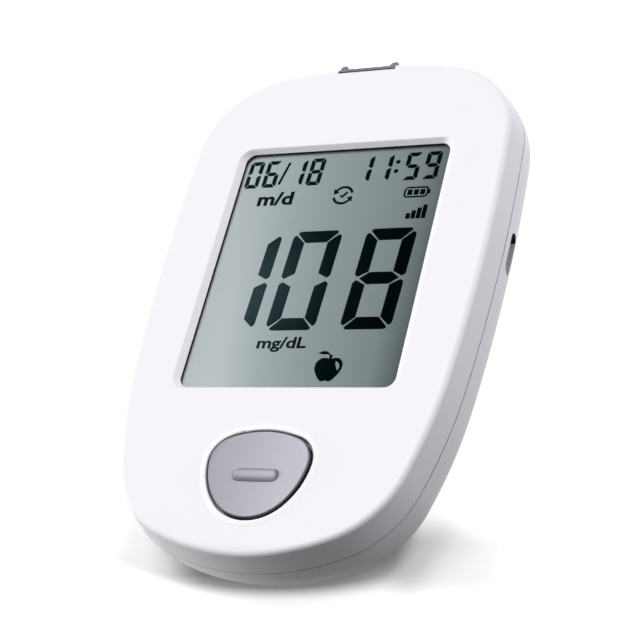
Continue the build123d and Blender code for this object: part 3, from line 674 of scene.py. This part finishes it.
for bar_left in (14.47, 15.75, 17.03):
    icons.append(rectangle(bar_left, low=21.88, width=0.98, height=1.22))

# signal bars, each taller than the last
SIGNAL_LEFT, SIGNAL_LOW, SIGNAL_PITCH, SIGNAL_WIDTH = 15.25, 16.50, 1.04, 0.86
for index, bar_height in enumerate((1.25, 1.83, 2.40, 3.02)):
    icons.append(rectangle(SIGNAL_LEFT + SIGNAL_PITCH * index, SIGNAL_LOW, SIGNAL_WIDTH, bar_height))

# an apple with a leaf, the mark for a reading taken after a meal
FRUIT_CENTRE = (7.50, -15.48)
FRUIT_FLANK = [
    (0.00, 2.12), (0.45, 2.28), (1.00, 2.38), (1.50, 2.36), (1.95, 2.17), (2.35, 1.80),
    (2.62, 1.30), (2.72, 0.70), (2.66, 0.10), (2.45, -0.50), (2.08, -1.15), (1.60, -1.80),
    (1.15, -2.28), (0.80, -2.45), (0.40, -2.43), (0.00, -2.22),
]
# the gleam is a bare sickle beside the stretch of flank between these two of its points
GLEAM_TOP, GLEAM_FOOT = 3, 9
GLEAM_INSIDE = [(1.15, 1.68), (1.26, 1.10), (1.52, 0.42), (1.88, -0.24)]
GLEAM_OUTSIDE = [(1.55, 1.55), (1.95, 1.10), (2.15, 0.55), (2.10, 0.10)]
STALKS = (
    {"points": [(-0.40, 3.12), (-0.16, 2.75), (-0.06, 2.05)], "width": 0.30},
    {"points": [(0.02, 2.05), (0.10, 2.55), (0.16, 2.98)], "width": 0.34},
)
LEAF = [
    (-2.70, 3.25), (-2.20, 3.62), (-1.55, 3.80), (-0.95, 3.72), (-0.50, 3.40), (-0.15, 2.95),
    (-0.42, 2.98), (-0.75, 3.12), (-1.60, 3.10),
]
left_flank = [(-x, y) for x, y in FRUIT_FLANK[:0:-1]]
flesh = left_flank + FRUIT_FLANK[:GLEAM_TOP + 1] + GLEAM_INSIDE + FRUIT_FLANK[GLEAM_FOOT:-1]
rind = FRUIT_FLANK[GLEAM_TOP:GLEAM_FOOT + 1] + GLEAM_INSIDE[-1:] + GLEAM_OUTSIDE[::-1]
rind += GLEAM_INSIDE[:1]
for outline in (flesh, rind, *(ribbon(**stalk) for stalk in STALKS), LEAF):
    icons.append(plate_of(moved(outline, FRUIT_CENTRE)))
printed("status_icons", icons)

UNIT_MARKS = (
    {"text": "m/d", "left": -17.02, "base": 21.15, "size": 4.10, "width": 7.60, "weight": 0.140},
    {"text": "mg/dL", "left": -8.25, "base": -10.97, "size": 3.25, "width": 10.05, "weight": 0.090},
)
SAME_CORNER = 0.000001


def unit_plate(text, left, base, size, width, weight):
    """Plate of a unit's letters, stretched to that width."""
    bpy.ops.object.text_add(location=(left * MM, base * MM, INK_Z * MM))
    line = bpy.context.object
    line.data.body = text
    line.data.size = size * MM
    line.data.extrude = INK_THICKNESS * MM / 2
    line.data.bevel_depth = weight * MM
    line.data.bevel_resolution = 1
    bpy.context.view_layer.update()
    line.scale.x = width * MM / line.dimensions.x
    line.scale.z = INK_THICKNESS * MM / line.dimensions.z
    bpy.ops.object.convert(target="MESH")
    bpy.ops.object.transform_apply(location=True, rotation=True, scale=True)
    bpy.ops.object.mode_set(mode="EDIT")
    bpy.ops.mesh.select_all(action="SELECT")
    bpy.ops.mesh.remove_doubles(threshold=SAME_CORNER)
    bpy.ops.transform.translate(value=(0, 0, INK_THICKNESS * MM / 2))
    bpy.ops.object.mode_set(mode="OBJECT")
    return bpy.context.object


printed("unit_marks", [unit_plate(**mark) for mark in UNIT_MARKS])

# ------------------------------------------------------------------ window

# Hard-coated acrylic lens against the back of the front wall, and the black frame behind
# it that shuts out dust. The frame is what shows as a dark line round the display.
WINDOW_COVER = {0.30: 0.006, 0.95: 0.70}
ACRYLIC_IOR = 1.49


def clear_window():
    """Polished acrylic: nearly nothing seen square on, and a clear gloss at a low angle."""
    material = moulded("clear_window", (0.02, 0.02, 0.02), 0.03, grain=(120, 0.01), patches=0.02)
    tree = material.node_tree
    shader = tree.nodes["Principled BSDF"]
    edge_on = tree.nodes.new("ShaderNodeLayerWeight").outputs["Facing"]
    feed(tree, shader.inputs["Alpha"], ranged(tree, edge_on, WINDOW_COVER))
    shader.inputs["IOR"].default_value = ACRYLIC_IOR
    return material


dress(clear_window(), "display_window")
dress(moulded("black_tape", (0.012, 0.012, 0.013), 0.75, grain=(3500, 0.5)), "window_gasket")

# ------------------------------------------------------------------ board and what it carries

# Green two-sided board with tinned pads, a main chip, a shielded radio board, a card
# holder, a block antenna and a round sounder, all soldered flat.
MASK_GREEN = (0.020, 0.130, 0.060)
MASK_GREEN_PALER = (0.024, 0.150, 0.070)
TRACK_GREEN = (0.045, 0.230, 0.110)
TRACK_SCALE, TRACK_WIDTH = 260, 0.06


def board_laminate():
    """Solder mask over copper: paler tracks in two directions under a green gloss."""
    material = moulded("circuit_board", MASK_GREEN, 0.28, grain=(1500, 0.15), Coat_Weight=0.3)
    tree = material.node_tree
    tracks = tree.nodes.new("ShaderNodeTexBrick")
    tracks.inputs["Scale"].default_value = TRACK_SCALE
    tracks.inputs["Mortar Size"].default_value = TRACK_WIDTH
    colours = {"Color1": MASK_GREEN, "Color2": MASK_GREEN_PALER, "Mortar": TRACK_GREEN}
    for socket, colour in colours.items():
        tracks.inputs[socket].default_value = (*colour, 1)
    feed(tree, tracks.inputs["Vector"], object_place(tree))
    recolour(material, tracks.outputs["Color"])
    return material


dress(board_laminate(), "main_board", "cellular_module")
dress(moulded("chip_epoxy", (0.022, 0.022, 0.024), 0.55, grain=(5000, 0.4)), "microcontroller")
dress(moulded("antenna_block", (0.56, 0.53, 0.45), 0.60, grain=(3500, 0.3)), "antenna")
dress(
    moulded("black_plastic", (0.025, 0.025, 0.028), 0.45, grain=(3000, 0.3)),
    "buzzer", "contact_block", "switch_body", "switch_plunger",
)
dress(moulded("card_plastic", (0.76, 0.76, 0.73), 0.40, grain=(2500, 0.1)), "sim_card")

ROLLING_STRETCH = (9000, 300, 9000)
ROLLING_DEPTH = 0.25
ROLLING_DISTANCE = 0.00002


def rolled_sheet(name, colour, roughness, metallic=1.0):
    """Sheet metal with fine rolling lines along Y."""
    material = moulded(
        name, colour, roughness, grain=(2500, 0.1), drift=0.10, patches=0.2, Metallic=metallic
    )
    tree = material.node_tree
    stretch = tree.nodes.new("ShaderNodeMapping")
    stretch.inputs["Scale"].default_value = ROLLING_STRETCH
    feed(tree, stretch.inputs["Vector"], object_place(tree))
    lines = noise(tree, stretch.outputs["Vector"], scale=1, detail=2)
    normal = bumped(tree, lines, ROLLING_DEPTH, ROLLING_DISTANCE)
    feed(tree, tree.nodes["Principled BSDF"].inputs["Normal"], normal)
    return material


TIN_COLOUR = (0.60, 0.59, 0.57)
dress(rolled_sheet("tinned_sheet", TIN_COLOUR, 0.32), "module_shield", "sim_holder", "switch_cover")

# the charging socket's contact tongue is black nylon inside the tinned shell
TONGUE_MIDDLE = {"Y": 13.0, "Z": 10.05}
TONGUE_HALF = {"Y": 2.20, "Z": 0.33}
TONGUE_BLACK = (0.020, 0.020, 0.022, 1)


def socket_finish():
    """Tinned shell with a black tongue in its middle."""
    material = rolled_sheet("socket_tin", TIN_COLOUR, 0.30)
    tree = material.node_tree
    spot = axes(tree, object_place(tree))
    tongue = worked_out(tree, "MULTIPLY", *(
        worked_out(tree, "COMPARE", spot[axis], TONGUE_MIDDLE[axis] * MM, TONGUE_HALF[axis] * MM)
        for axis in TONGUE_MIDDLE
    ))
    metal = worked_out(tree, "SUBTRACT", 1.0, tongue)
    feed(tree, tree.nodes["Principled BSDF"].inputs["Metallic"], metal)
    recolour(material, mixed(tree, tongue, (*TIN_COLOUR, 1), TONGUE_BLACK))
    return material


dress(socket_finish(), "usb_socket")
dress(rolled_sheet("contact_gold", (0.80, 0.60, 0.25), 0.25), "strip_contacts")

# ------------------------------------------------------------------ battery

# Flat lithium pouch cell in dull foil on a strip of foam tape, with two short leads that
# plug into a natural nylon header on the board.
dress(rolled_sheet("pouch_foil", (0.52, 0.53, 0.55), 0.42, metallic=0.8), "battery_cell")
dress(moulded("foam_tape", (0.05, 0.05, 0.05), 0.85, grain=(1800, 0.8)), "battery_tape")
dress(
    moulded("natural_nylon", (0.70, 0.67, 0.56), 0.50, grain=(2500, 0.2)),
    "battery_connector", "battery_plug",
)
dress(moulded("lead_insulation", (0.30, 0.015, 0.012), 0.45, grain=(2500, 0.2)), "battery_leads")

# ------------------------------------------------------------------ strip port

# Grey insert held in the notch of the top end, in a matt plastic like the button's but
# darker.
PORT_GREY = (0.135, 0.138, 0.172)
dress(moulded("port_grey", PORT_GREY, 0.48, grain=(3200, 0.25), drift=0.05), "strip_port")

# ------------------------------------------------------------------ button

# Fine matt grey cap, dished for the thumb, with a raised bar across its middle. It is painted paler
# towards the right as a sheen, and its steep flanks are painted darker as shade.
BUTTON_GREY = (0.420, 0.420, 0.480)
# painted sheen: the cap is paler towards the right, by X
BUTTON_SHEEN = {-9.0: 0.74, 6.0: 1.17}
# painted shade: tone of a flank by how far it faces up, from 0 for upright to 1 for level
FLANK_TONES = {0.0: 0.05, 0.14: 0.07, 0.34: 0.26, 0.62: 0.36, 0.84: 0.66, 0.97: 1.0}
# painted shade: flanks that face this way are darker still
SHADED_SIDE = (0.90, 0.436, 0.0)
SHADED_SIDE_TONES = {0.22: 1.0, 0.62: 0.48}


def button_plastic():
    """Satin grey of the cap, with painted sheen paler to the right and painted shade on every steep
    flank.
    """
    material = moulded("button_grey", BUTTON_GREY, 0.40, grain=(3200, 0.25), drift=0.04)
    tree = material.node_tree
    place = tree.nodes.new("ShaderNodeTexCoord").outputs
    sheen = ranged(tree, axes(tree, place["Object"])["X"], in_metres(BUTTON_SHEEN))
    tones = {position: (level, level, level) for position, level in FLANK_TONES.items()}
    # painted shade on every steep flank, darkest on those facing right
    flank = ramped(tree, axes(tree, place["Normal"])["Z"], tones)
    turned = measured(tree, "DOT_PRODUCT", place["Normal"], SHADED_SIDE)
    shade = worked_out(tree, "MULTIPLY", sheen, flank)
    shade = worked_out(tree, "MULTIPLY", shade, ranged(tree, turned, SHADED_SIDE_TONES))
    recolour(material, scaled(tree, BUTTON_GREY, shade))
    return material


dress(button_plastic(), "button_cap")

# ------------------------------------------------------------------ screws and feet

# Zinc-plated self-tapping screws with cross recesses, their heads up the rear wells or
# under the board, and round pale rubber feet pressed into the back.
ZINC_STEEL = rolled_sheet("zinc_steel", (0.62, 0.63, 0.66), 0.30)
CASE_SCREWS = {
    "head": (1.95, 1.5), "shank": (1.0, 7.0), "recess": (2.5, 0.55, 0.9),
    "seat": 9.5, "places": ((22.0, 43.5), (17.5, -41.5)),
}
BOARD_SCREWS = {
    "head": (1.70, 1.2), "shank": (0.9, 4.6), "recess": (2.1, 0.45, 0.7),
    "seat": 11.1, "places": ((28.2, 30.0), (26.0, -27.0)),
}
HEAD_ROUNDING = 0.45
TIP_BEVEL = 0.4
RECESS_TAPER = 0.62
HEAD_SIDES, SHANK_SIDES = 48, 32
SMOOTH_UNDER = radians(35)
SAME_HEIGHT = 0.00001


def round_edge(height, offset, segments):
    """Bevels the edges of the active piece that lie at that height, in millimetres."""
    piece = bpy.context.object
    bpy.ops.object.mode_set(mode="EDIT")
    bpy.ops.mesh.select_mode(type="EDGE")
    bpy.ops.mesh.select_all(action="DESELECT")
    bpy.ops.object.mode_set(mode="OBJECT")
    middle = piece.matrix_world.translation.z
    for edge in piece.data.edges:
        ends = [piece.data.vertices[end].co.z + middle for end in edge.vertices]
        edge.select = all(abs(end - height * MM) < SAME_HEIGHT for end in ends)
    bpy.ops.object.mode_set(mode="EDIT")
    bpy.ops.mesh.bevel(offset=offset * MM, segments=segments)
    bpy.ops.object.mode_set(mode="OBJECT")


def recess_arm(height, size_x, size_y, depth):
    """Tapered bar that cuts one arm of a cross recess into a head of that height."""
    bpy.ops.mesh.primitive_cube_add(size=1, location=(0, 0, -height * MM))
    bpy.ops.transform.resize(value=(size_x * MM, size_y * MM, 2 * depth * MM))
    bpy.ops.object.mode_set(mode="EDIT")
    bpy.ops.mesh.select_all(action="DESELECT")
    bpy.ops.object.mode_set(mode="OBJECT")
    arm = bpy.context.object
    for vertex in arm.data.vertices:
        vertex.select = vertex.co.z > 0
    bpy.ops.object.mode_set(mode="EDIT")
    bpy.ops.transform.resize(value=(RECESS_TAPER, RECESS_TAPER, 1))
    bpy.ops.object.mode_set(mode="OBJECT")
    return arm


def pan_head_screw(head, shank, recess):
    """Screw on the Z axis that points upwards, with its seat at height 0."""
    radius, height = head
    bpy.ops.mesh.primitive_cylinder_add(
        vertices=HEAD_SIDES, radius=radius * MM, depth=height * MM,
        location=(0, 0, -height / 2 * MM),
    )
    pan = bpy.context.object
    round_edge(-height, height * HEAD_ROUNDING, 6)
    length, width, depth = recess
    arms = [recess_arm(height, *size, depth) for size in ((length, width), (width, length))]
    for arm in arms:
        bpy.context.view_layer.objects.active = pan
        cut = pan.modifiers.new("recess", "BOOLEAN")
        cut.operation = "DIFFERENCE"
        cut.object = arm
        bpy.ops.object.modifier_apply(modifier=cut.name)
        bpy.data.objects.remove(arm)
    radius, length = shank
    bpy.ops.mesh.primitive_cylinder_add(
        vertices=SHANK_SIDES, radius=radius * MM, depth=length * MM,
        location=(0, 0, length / 2 * MM),
    )
    round_edge(length, radius * TIP_BEVEL, 1)
    return joined("screw", [pan, bpy.context.object])


def screw_set(name, node, head, shank, recess, seat, places):
    """Four like screws as one piece, which stands for a CAD node."""
    pattern = pan_head_screw(head, shank, recess)
    screws = []
    for x, y in places:
        for side in (-1, 1):
            copy = pattern.copy()
            copy.data = pattern.data.copy()
            copy.location = (side * x * MM, y * MM, seat * MM)
            bpy.context.scene.collection.objects.link(copy)
            screws.append(copy)
    bpy.data.objects.remove(pattern)
    piece = joined(name, screws)
    bpy.context.view_layer.objects.active = piece
    piece.select_set(True)
    bpy.ops.object.shade_smooth_by_angle(angle=SMOOTH_UNDER)
    bpy.ops.object.select_all(action="DESELECT")
    piece.data.materials.clear()
    piece.data.materials.append(ZINC_STEEL)
    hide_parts(node)
    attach(piece, "meter")


dress(ZINC_STEEL, "case_screws", "board_screws")
screw_set("cross_head_case_screws", node="case_screws", **CASE_SCREWS)
screw_set("cross_head_board_screws", node="board_screws", **BOARD_SCREWS)
dress(
    moulded("foot_rubber", (0.42, 0.42, 0.43), 0.75, grain=(2200, 0.5), drift=0.06), "rubber_feet"
)
